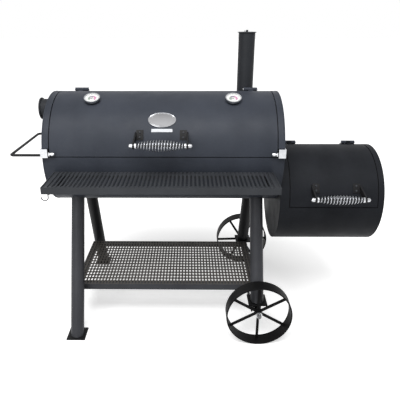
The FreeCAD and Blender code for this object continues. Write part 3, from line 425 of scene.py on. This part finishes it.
def foot_plate(name, body, node, barrel, side, material):
    """A plate bent to the barrel, just inside one bracket, with two bolt heads."""
    low, high = corners(node)
    barrel_low, barrel_high = corners(barrel)
    axis_y, axis_z = (barrel_low.y + barrel_high.y) / 2, (barrel_low.z + barrel_high.z) / 2
    radius = (barrel_high.z - barrel_low.z) / 2
    middle_angle = math.atan2(axis_y - high.y, (low.z + high.z) / 2 + 9 * MM - axis_z)
    near = (low.x if side < 0 else high.x) - side * BRACKET_THICK
    far = near - side * PLATE_REACH
    columns = sorted((near, far))
    half_angle = PLATE_HEIGHT / 2 / radius
    angles = [middle_angle - half_angle + 2 * half_angle * step / 8 for step in range(9)]
    vertices, faces = [], []
    for lift in (0.15 * MM, PLATE_THICK):
        for x in columns:
            for angle in angles:
                reach = radius + lift
                vertices.append((x, axis_y - reach * math.sin(angle), axis_z + reach * math.cos(angle)))
    for step in range(8):
        for first, second in ((0, 9), (18, 27)):
            faces.append([first + step, first + step + 1, second + step + 1, second + step])
        faces.append([step, step + 1, 19 + step, 18 + step])
        faces.append([9 + step, 10 + step, 28 + step, 27 + step])
    faces.append([0, 9, 27, 18])
    faces.append([8, 17, 35, 26])
    plate = mesh_piece(name, vertices, faces, material)
    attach(plate, body)
    for place, angle in (("upper", middle_angle - half_angle / 2),
                         ("lower", middle_angle + half_angle / 2)):
        out = Vector((0, -math.sin(angle), math.cos(angle)))
        seat = Vector(((near + far) / 2, axis_y, axis_z)) + out * (radius + PLATE_THICK)
        bolt = lathe(f"{name}_{place}_bolt", BOLT_PROFILE, seat, out, shelf_paint, steps=20)
        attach(bolt, body)


BRACKET_THICK, PLATE_REACH, PLATE_HEIGHT, PLATE_THICK = 6 * MM, 30 * MM, 42 * MM, 3.2 * MM
BOLT_PROFILE = ((0, 0), (0, 5 * MM), (1.4 * MM, 4.8 * MM), (2.9 * MM, 3.2 * MM), (3.5 * MM, 0))
# The foot plates take the near-black painted shade paint; their bolts take the plain shelf black.
for door, barrel in (("lid", "chamber_shell"), ("firebox_door", "firebox_shell")):
    for side, word in ((-1, "left"), (1, "right")):
        foot_plate(f"{door}_handle_foot_{word}", door, door + "_handle_brackets", barrel, side, shade_black_paint)

# ------------------------------------------------------------------ thermometers
# Two 3 inch bimetal dials stand on stems on the lid: chromed cases, flat glass, and white printed
# faces with a coloured band, tick marks, plain numbers and a dark needle.
DIAL_TILT = math.radians(25)


def printed_face():
    """White card, very slightly mottled."""
    material, tree, shader, place = new_material("dial card")
    tone = ramp(tree, noise(tree, place, 160.0, 3.0),
                ((0.3, (0.80, 0.80, 0.77)), (0.7, (0.88, 0.88, 0.86))))
    tree.links.new(tone, shader.inputs["Base Color"])
    shader.inputs["Roughness"].default_value = 0.5
    bumped(tree, shader, noise(tree, place, 900.0), 0.00005)
    return material


def clear_glass():
    """Thin flat glass with faint smears."""
    material, tree, shader, place = new_material("dial glass")
    smears = noise(tree, place, 70.0, 4.0)
    shader.inputs["Base Color"].default_value = (0.95, 0.97, 0.97, 1)
    shader.inputs["Alpha"].default_value = 0.12
    tree.links.new(spread(tree, smears, 0.02, 0.07), shader.inputs["Roughness"])
    return material


def ink(name, color):
    """A printed colour, a little uneven."""
    material, tree, shader, place = new_material(name)
    tone = ramp(tree, noise(tree, place, 400.0), ((0.3, tuple(c * 0.85 for c in color)), (0.7, color)))
    tree.links.new(tone, shader.inputs["Base Color"])
    shader.inputs["Roughness"].default_value = 0.45
    return material


dress(("thermometer_cases",), chrome)
dress(("thermometer_dials",), printed_face())
dress(("thermometer_lenses",), clear_glass())
BANDS = (("cool", -135, -58, ink("grey green ink", (0.22, 0.32, 0.22))),
         ("warm", -58, 20, ink("violet ink", (0.16, 0.10, 0.19))),
         ("hot", 20, 135, ink("pink ink", (0.58, 0.16, 0.36))))
black_ink = ink("black ink", (0.02, 0.02, 0.022))


def dial_point(centre, radius, angle, lift):
    """A point on a dial: angle in degrees clockwise from its top, lift above the card."""
    right = Vector((1, 0, 0))
    up = Vector((0, math.cos(DIAL_TILT), math.sin(DIAL_TILT)))
    out = Vector((0, -math.sin(DIAL_TILT), math.cos(DIAL_TILT)))
    turn = math.radians(angle)
    return centre + right * radius * math.sin(turn) + up * radius * math.cos(turn) + out * lift


def flat_print(name, outlines, centre, lift, thick, material):
    """Thin printed shapes on a dial card; each outline is (radius, angle) corners."""
    vertices, faces = [], []
    for outline in outlines:
        first, count = len(vertices), len(outline)
        for level in (lift, lift + thick):
            vertices.extend(dial_point(centre, radius, angle, level) for radius, angle in outline)
        faces.append(list(range(first, first + count)))
        faces.append(list(range(first + count, first + 2 * count)))
        for index in range(count):
            after = (index + 1) % count
            faces.append([first + index, first + after, first + count + after, first + count + index])
    piece = mesh_piece(name, vertices, faces, material, smooth=False)
    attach(piece, "lid")


def band_outline(inner, outer, start, end, steps=18):
    """An arc-shaped band between two angles."""
    angles = [start + (end - start) * step / steps for step in range(steps + 1)]
    return [(outer, a) for a in angles] + [(inner, a) for a in reversed(angles)]


def bar_outline(inner, outer, angle, width):
    """A short straight bar that points at the dial's middle."""
    half = math.degrees(width / 2 / outer)
    tail = math.degrees(width / 2 / max(inner, 1e-4))
    return [(outer, angle - half), (outer, angle + half), (inner, angle + tail), (inner, angle - tail)]


def dial_number(text, name, centre, radius, angle):
    """One upright number printed on a dial card."""
    curve = bpy.data.curves.new(name, "FONT")
    curve.body = text
    curve.size = 7 * MM
    curve.extrude = 0.05 * MM
    curve.align_x = "CENTER"
    curve.align_y = "CENTER"
    holder = bpy.data.objects.new(name + "_text", curve)
    bpy.context.scene.collection.objects.link(holder)
    mesh = bpy.data.meshes.new_from_object(holder.evaluated_get(bpy.context.evaluated_depsgraph_get()))
    bpy.data.objects.remove(holder)
    place = Matrix.Translation(dial_point(centre, radius, angle, 0.25 * MM))
    mesh.transform(place @ Matrix.Rotation(DIAL_TILT, 4, "X"))
    mesh.materials.clear()
    mesh.materials.append(black_ink)
    piece = bpy.data.objects.new(name, mesh)
    bpy.context.scene.collection.objects.link(piece)
    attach(piece, "lid")


dial_low, dial_high = corners("thermometer_dials")
dial_out = Vector((0, -math.sin(DIAL_TILT), math.cos(DIAL_TILT)))
card_radius = (dial_high.y - dial_low.y) / (2 * math.cos(DIAL_TILT)) - 0.2 * MM
CARD_TOP, INK_THICK = 0.55 * MM, 0.08 * MM
HUB_PROFILE = ((0, 0), (0, 3 * MM), (1.7 * MM, 3 * MM), (2.1 * MM, 2.4 * MM), (2.1 * MM, 0))
for word, x, needle in (("left", dial_low.x + card_radius, -118),
                        ("right", dial_high.x - card_radius, -110)):
    card = Vector((x, (dial_low.y + dial_high.y) / 2, (dial_low.z + dial_high.z) / 2))
    for label, start, end, paint in BANDS:
        flat_print(f"dial_{word}_{label}_band", [band_outline(9 * MM, card_radius - 12.5 * MM, start, end)],
                   card, CARD_TOP, INK_THICK, paint)
    ticks = [bar_outline(card_radius - 4.5 * MM, card_radius - 1.5 * MM, angle, 1.5 * MM)
             for angle in range(-135, 136, 15)]
    flat_print(f"dial_{word}_ticks", ticks, card, CARD_TOP, INK_THICK, black_ink)
    flat_print(f"dial_{word}_needle", [[(card_radius - 6 * MM, needle), (2.2 * MM, needle + 90),
                                        (7 * MM, needle + 180), (2.2 * MM, needle - 90)]],
               card, 1.5 * MM, 0.4 * MM, black_ink)
    hub = lathe(f"dial_{word}_needle_hub", HUB_PROFILE, dial_point(card, 0, 0, CARD_TOP), dial_out,
                black_ink)
    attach(hub, "lid")
    for angle, text in ((-120, "0"), (-60, "100"), (0, "200"), (60, "300"), (120, "400")):
        dial_number(text, f"dial_{word}_number_{text}", card, card_radius - 8.3 * MM, angle)

# ------------------------------------------------------------------ plain plates on the lid
# A stamped oval badge and a narrow plate above the handle: thin brushed aluminium without any
# marking, bent to the lid's curve and stuck on flat.


def brushed_plate(name, color, roughness):
    """Bare metal brushed from end to end."""
    material, tree, shader, place = new_material(name)
    lines = noise(tree, place, 700.0, 2.0, 0.6, (0.06, 1.0, 1.0))
    tree.links.new(ramp(tree, lines, ((0.3, tuple(c * 0.8 for c in color)), (0.7, color))),
                   shader.inputs["Base Color"])
    shader.inputs["Metallic"].default_value = 0.45
    tree.links.new(spread(tree, lines, roughness - 0.08, roughness + 0.1), shader.inputs["Roughness"])
    bumped(tree, shader, lines, 0.00006)
    return material


dress(("lid_badge_plate",), brushed_plate("badge aluminium", (0.17, 0.17, 0.175), 0.45))
dress(("lid_label_plate",), brushed_plate("label aluminium", (0.42, 0.43, 0.45), 0.5))

# The badge's edge is rolled up into a bright bead, with a second fine line pressed inside it.


def oval_bead(name, inset, radius, steps=72, section=8):
    """A round bead along an oval that lies on the lid's curve."""
    low, high = corners("lid_badge_plate")
    centre_x, half_x = (low.x + high.x) / 2, (high.x - low.x) / 2 - inset
    half_slope = math.hypot(high.y - low.y, high.z - low.z) / 2 - inset
    path = []
    for step in range(steps):
        turn = 2 * math.pi * step / steps
        angle = BADGE_ANGLE + half_slope * math.sin(turn) / LID_RADIUS
        out = Vector((0, -math.sin(angle), math.cos(angle)))
        on_axis = Vector((centre_x + half_x * math.cos(turn), BARREL_Y, BARREL_Z))
        path.append((on_axis + out * LID_RADIUS, out))
    vertices, faces = [], []
    for step, (point, out) in enumerate(path):
        along = (path[(step + 1) % steps][0] - path[step - 1][0]).normalized()
        side = along.cross(out)
        for around in range(section):
            turn = 2 * math.pi * around / section
            vertices.append(point + (side * math.cos(turn) + out * math.sin(turn)) * radius)
    for step in range(steps):
        for around in range(section):
            first, second = step * section, (step + 1) % steps * section
            following = (around + 1) % section
            faces.append([first + around, first + following, second + following, second + around])
    piece = mesh_piece(name, vertices, faces, chrome)
    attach(piece, "lid")


barrel_low, barrel_high = corners("chamber_shell")
barrel_radius = (barrel_high.z - barrel_low.z) / 2
BARREL_Y, BARREL_Z = (barrel_low.y + barrel_high.y) / 2, (barrel_low.z + barrel_high.z) / 2
LID_RADIUS = barrel_radius + 2.4 * MM
BADGE_ANGLE = math.radians(50)
oval_bead("badge_rolled_rim", 2.0 * MM, 1.6 * MM)
oval_bead("badge_pressed_line", 7.0 * MM, 0.6 * MM)

# ------------------------------------------------------------------ lower shelf mesh
# Flattened expanded steel laid in the angle-iron frame: one slit and stretched sheet, so its strands
# form rows of long diamonds with joints where they meet.


def mesh_tree(material):
    """A sheet with straight rows of long openings that taper at both ends, filled and thickened."""
    tree, given, output = new_tree("expanded steel", {
        "Width": 0.86, "Depth": 0.43, "Pitch Across": 0.0155, "Pitch Along": 0.0279, "Bar": 0.0055,
        "Thickness": 0.003, "Columns": 56, "Rows": 16})
    across = sum_of(tree, "MULTIPLY", given.outputs["Pitch Across"],
                    sum_of(tree, "SUBTRACT", given.outputs["Columns"], 1.0))
    along = sum_of(tree, "MULTIPLY", given.outputs["Pitch Along"],
                   sum_of(tree, "SUBTRACT", given.outputs["Rows"], 1.0))
    grid = tree.nodes.new("GeometryNodeMeshGrid")
    tree.links.new(across, grid.inputs["Size X"])
    tree.links.new(along, grid.inputs["Size Y"])
    tree.links.new(given.outputs["Columns"], grid.inputs["Vertices X"])
    tree.links.new(given.outputs["Rows"], grid.inputs["Vertices Y"])
    opening = tree.nodes.new("GeometryNodeCurvePrimitiveQuadrilateral")
    tree.links.new(sum_of(tree, "SUBTRACT", given.outputs["Pitch Across"], given.outputs["Bar"]),
                   opening.inputs["Width"])
    tree.links.new(sum_of(tree, "SUBTRACT", given.outputs["Pitch Along"],
                          sum_of(tree, "MULTIPLY", given.outputs["Bar"], 0.85)), opening.inputs["Height"])
    rounded = tree.nodes.new("GeometryNodeFilletCurve")
    rounded.mode = "POLY"
    rounded.inputs["Count"].default_value = 1
    rounded.inputs["Radius"].default_value = 0.0036
    tree.links.new(opening.outputs["Curve"], rounded.inputs["Curve"])
    punched = tree.nodes.new("GeometryNodeInstanceOnPoints")
    tree.links.new(grid.outputs["Mesh"], punched.inputs["Points"])
    tree.links.new(rounded.outputs["Curve"], punched.inputs["Instance"])
    loose = tree.nodes.new("GeometryNodeRealizeInstances")
    tree.links.new(punched.outputs["Instances"], loose.inputs["Geometry"])
    edge = tree.nodes.new("GeometryNodeCurvePrimitiveQuadrilateral")
    tree.links.new(given.outputs["Width"], edge.inputs["Width"])
    tree.links.new(given.outputs["Depth"], edge.inputs["Height"])
    outline = tree.nodes.new("GeometryNodeJoinGeometry")
    tree.links.new(loose.outputs["Geometry"], outline.inputs["Geometry"])
    tree.links.new(edge.outputs["Curve"], outline.inputs["Geometry"])
    sheet = tree.nodes.new("GeometryNodeFillCurve")
    tree.links.new(outline.outputs["Geometry"], sheet.inputs["Curve"])
    raised = tree.nodes.new("GeometryNodeExtrudeMesh")
    raised.inputs["Individual"].default_value = False
    tree.links.new(sheet.outputs["Mesh"], raised.inputs["Mesh"])
    tree.links.new(given.outputs["Thickness"], raised.inputs["Offset Scale"])
    under = tree.nodes.new("GeometryNodeFlipFaces")
    tree.links.new(sheet.outputs["Mesh"], under.inputs["Mesh"])
    both = tree.nodes.new("GeometryNodeJoinGeometry")
    tree.links.new(raised.outputs["Mesh"], both.inputs["Geometry"])
    tree.links.new(under.outputs["Mesh"], both.inputs["Geometry"])
    welded = tree.nodes.new("GeometryNodeMergeByDistance")
    welded.inputs["Distance"].default_value = 1e-5
    tree.links.new(both.outputs["Geometry"], welded.inputs["Geometry"])
    closing(tree, welded.outputs["Geometry"], output, material)
    return tree


mesh_paint = heat_paint("mesh paint", (0.060, 0.055, 0.050), (0.090, 0.083, 0.075), 0.5, 0.0002, 0.1)
low, high = corners("lower_shelf_mesh")
MESH_PITCH = (15.5 * MM, 27.2 * MM)
shelf_mesh = grown("lower_shelf_expanded_mesh", mesh_tree(mesh_paint),
                   {"Width": high.x - low.x, "Depth": high.y - low.y, "Pitch Across": MESH_PITCH[0],
                    "Pitch Along": MESH_PITCH[1], "Bar": 6.9 * MM, "Thickness": high.z - low.z,
                    "Columns": int((high.x - low.x) / MESH_PITCH[0]),
                    "Rows": int((high.y - low.y) / MESH_PITCH[1])},
                   Matrix.Translation(((low.x + high.x) / 2, (low.y + high.y) / 2, low.z)))
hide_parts("lower_shelf_mesh")
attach(shelf_mesh, "root")

# ------------------------------------------------------------------ weld beads
# The barrel's end plates, the firebox and the flue are joined by hand-laid welds: rows of small
# overlapping ripples in the corner, under the same paint.


def bead_tree(material):
    """Overlapping ripples along the edges of a path, a little uneven in size."""
    tree, given, output = new_tree("weld bead", {"Ripple": 0.0045, "Pitch": 0.0035, "Unevenness": 0.2})
    path = tree.nodes.new("GeometryNodeMeshToCurve")
    tree.links.new(given.outputs["Geometry"], path.inputs["Mesh"])
    spaced = tree.nodes.new("GeometryNodeCurveToPoints")
    spaced.mode = "LENGTH"
    tree.links.new(path.outputs["Curve"], spaced.inputs["Curve"])
    tree.links.new(given.outputs["Pitch"], spaced.inputs["Length"])
    ripple = tree.nodes.new("GeometryNodeMeshUVSphere")
    ripple.inputs["Segments"].default_value = 6
    ripple.inputs["Rings"].default_value = 4
    tree.links.new(given.outputs["Ripple"], ripple.inputs["Radius"])
    soft = tree.nodes.new("GeometryNodeSetShadeSmooth")
    tree.links.new(ripple.outputs["Mesh"], soft.inputs["Geometry"])
    swing = tree.nodes.new("FunctionNodeRandomValue")
    swing.data_type = "FLOAT"
    numbers = [socket for socket in swing.inputs if socket.type == "VALUE"]
    tree.links.new(sum_of(tree, "SUBTRACT", 1.0, given.outputs["Unevenness"]), numbers[0])
    tree.links.new(sum_of(tree, "ADD", 1.0, given.outputs["Unevenness"]), numbers[1])
    swing.inputs["Seed"].default_value = 11
    size = [socket for socket in swing.outputs if socket.type == "VALUE"][0]
    laid = tree.nodes.new("GeometryNodeInstanceOnPoints")
    tree.links.new(spaced.outputs["Points"], laid.inputs["Points"])
    tree.links.new(soft.outputs["Geometry"], laid.inputs["Instance"])
    tree.links.new(size, laid.inputs["Scale"])
    closing(tree, laid.outputs["Instances"], output, material)
    return tree


def ring(centre, radius, axis, steps=64, start=0.0, sweep=360.0):
    """Points round a circle, or part of one."""
    axis = Vector(axis).normalized()
    side = Vector((0, 0, 1)) if abs(axis.z) < 0.9 else Vector((1, 0, 0))
    side = (side - axis * side.dot(axis)).normalized()
    other = axis.cross(side)
    turns = [math.radians(start + sweep * step / steps) for step in range(steps + 1)]
    return [Vector(centre) + (side * math.cos(t) + other * math.sin(t)) * radius for t in turns]


def bead(name, paths, tree, ripple, pitch):
    """One weld piece on the root body from a list of point paths."""
    vertices, edges = [], []
    for path in paths:
        first = len(vertices)
        vertices.extend(tuple(point) for point in path)
        edges.extend((first + index, first + index + 1) for index in range(len(path) - 1))
    seed = bpy.data.meshes.new(name + " path")
    seed.from_pydata(vertices, edges, [])
    piece = grown(name, tree, {"Ripple": ripple, "Pitch": pitch}, source=seed)
    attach(piece, "root")
    return piece


barrel_weld = bead_tree(barrel_paint)
end_low, end_high = corners("firebox_end_left")
firebox_y, firebox_z = (end_low.y + end_high.y) / 2, (end_low.z + end_high.z) / 2
firebox_radius = (end_high.z - end_low.z) / 2
BEAD_LIFT, BARREL_MARGIN, SEAM_DEPTH = 0.6 * MM, 2 * MM, 1.0 * MM
firebox_circle = ring((end_low.x, firebox_y, firebox_z), firebox_radius + BEAD_LIFT, (1, 0, 0), 96)
firebox_joint = [point for point in firebox_circle
                 if math.hypot(point.y - BARREL_Y, point.z - BARREL_Z) < barrel_radius - BARREL_MARGIN]
bead("barrel_to_firebox_weld", [firebox_joint], barrel_weld, 3.6 * MM, 3.6 * MM)

for word in ("left", "right"):
    plate_low, plate_high = corners("chamber_end_" + word)
    seam_x = plate_high.x if word == "left" else plate_low.x
    seam = ring((seam_x, BARREL_Y, BARREL_Z), barrel_radius - SEAM_DEPTH, (1, 0, 0), 120)
    bead(f"barrel_end_{word}_weld", [seam], barrel_weld, 2.0 * MM, 3.2 * MM)
stack_low, stack_high = corners("flue_stack")
flue_radius = (stack_high.x - stack_low.x) / 2
flue_centre = Vector(((stack_low.x + stack_high.x) / 2, stack_low.y + flue_radius, 0))
saddle = []
for point in ring(flue_centre, flue_radius + 0.8 * MM, (0, 0, 1), 72):
    rise = math.sqrt(barrel_radius ** 2 - (point.y - BARREL_Y) ** 2)
    saddle.append(Vector((point.x, point.y, BARREL_Z + rise)))
bead("flue_base_weld", [saddle], bead_tree(flue_paint), 3.2 * MM, 3.4 * MM)

# ------------------------------------------------------------------ floor, light and camera
# A plain white studio floor under a wide soft overhead light, with a weaker one at the front left.
# The camera stands in front, a little higher than the lid, and looks down at the smoker.
FLOOR_GLOW = 0.55
FLOOR_SIZE, FLOOR_LEVEL = 30.0, -0.5 * MM
ROOM_LIGHT = 0.20
CAMERA_PLACE = (-0.0444, -2.0567, 1.4042)


def seen_white(tree):
    """1 for rays of the camera, glossy metal and clear glass, which show the background; else 0."""
    rays = tree.nodes.new("ShaderNodeLightPath")
    return sum_of(tree, "MAXIMUM", rays.outputs["Is Camera Ray"],
                  sum_of(tree, "MAXIMUM", rays.outputs["Is Transmission Ray"],
                         rays.outputs["Is Glossy Ray"]))


def studio_floor():
    """White to the eye, in metal and in glass; it brightens away from the smoker."""
    material, tree, shader, place = new_material("studio floor")
    shader.inputs["Roughness"].default_value = 0.9
    shader.inputs["Specular IOR Level"].default_value = 0.1
    seen = seen_white(tree)
    tree.links.new(mixed(tree, seen, (0.22, 0.22, 0.22), (0.93, 0.93, 0.93)), shader.inputs["Base Color"])
    reach = tree.nodes.new("ShaderNodeVectorMath")
    reach.operation = "LENGTH"
    tree.links.new(place, reach.inputs[0])
    far = tree.nodes.new("ShaderNodeMapRange")
    far.inputs["From Min"].default_value = 0.55
    far.inputs["From Max"].default_value = 1.25
    far.inputs["To Min"].default_value = FLOOR_GLOW
    far.inputs["To Max"].default_value = 1.0
    tree.links.new(reach.outputs["Value"], far.inputs["Value"])
    shader.inputs["Emission Color"].default_value = (1, 1, 1, 1)
    tree.links.new(sum_of(tree, "MULTIPLY", seen, far.outputs["Result"]), shader.inputs["Emission Strength"])
    return material


floor_mesh = bpy.data.meshes.new("floor")
floor_mesh.from_pydata([(x * FLOOR_SIZE, y * FLOOR_SIZE, FLOOR_LEVEL)
                        for x, y in ((-1, -1), (1, -1), (1, 1), (-1, 1))], [], [(0, 1, 2, 3)])
floor_mesh.materials.append(studio_floor())
floor = bpy.data.objects.new("floor", floor_mesh)
bpy.context.scene.collection.objects.link(floor)

world = bpy.data.worlds.new("studio")
bpy.context.scene.world = world
world.use_nodes = True
sky = world.node_tree
level = sky.nodes.new("ShaderNodeMapRange")
level.inputs["To Min"].default_value = ROOM_LIGHT
level.inputs["To Max"].default_value = 1.0
sky.links.new(seen_white(sky), level.inputs["Value"])
sky.nodes["Background"].inputs["Color"].default_value = (1, 1, 1, 1)
sky.links.new(level.outputs["Result"], sky.nodes["Background"].inputs["Strength"])


def softbox(name, place, aim, width, height, power):
    """A wide soft lamp that faces a point."""
    lamp = bpy.data.lights.new(name, "AREA")
    lamp.shape = "RECTANGLE"
    lamp.size, lamp.size_y = width, height
    lamp.energy = power
    holder = bpy.data.objects.new(name, lamp)
    bpy.context.scene.collection.objects.link(holder)
    holder.location = place
    holder.rotation_euler = (Vector(aim) - Vector(place)).to_track_quat("-Z", "Y").to_euler()


softbox("overhead light", (-0.3, -1.9, 3.4), (0, 0, 0.8), 3.4, 1.4, 120)
softbox("front light", (-1.8, -3.8, 1.6), (0, 0, 0.7), 2.2, 1.6, 40)

lens = bpy.data.cameras.new("camera")
lens.sensor_width = 36.0
lens.lens = 40.46
lens.shift_x = 0.0375
lens.shift_y = -0.05
camera = bpy.data.objects.new("camera", lens)
bpy.context.scene.collection.objects.link(camera)
yaw, pitch, roll = (math.radians(a) for a in (-0.7, 19.9, 0.1))
look = Vector((math.sin(yaw) * math.cos(pitch), math.cos(yaw) * math.cos(pitch), -math.sin(pitch)))
level_right = Vector((math.cos(yaw), -math.sin(yaw), 0))
level_down = look.cross(level_right)
right = math.cos(roll) * level_right + math.sin(roll) * level_down
down = -math.sin(roll) * level_right + math.cos(roll) * level_down
camera.matrix_world = Matrix((
    (right.x, -down.x, -look.x, CAMERA_PLACE[0]),
    (right.y, -down.y, -look.y, CAMERA_PLACE[1]),
    (right.z, -down.z, -look.z, CAMERA_PLACE[2]),
    (0, 0, 0, 1)))
bpy.context.scene.camera = camera
bpy.context.scene.view_settings.view_transform = "Standard"
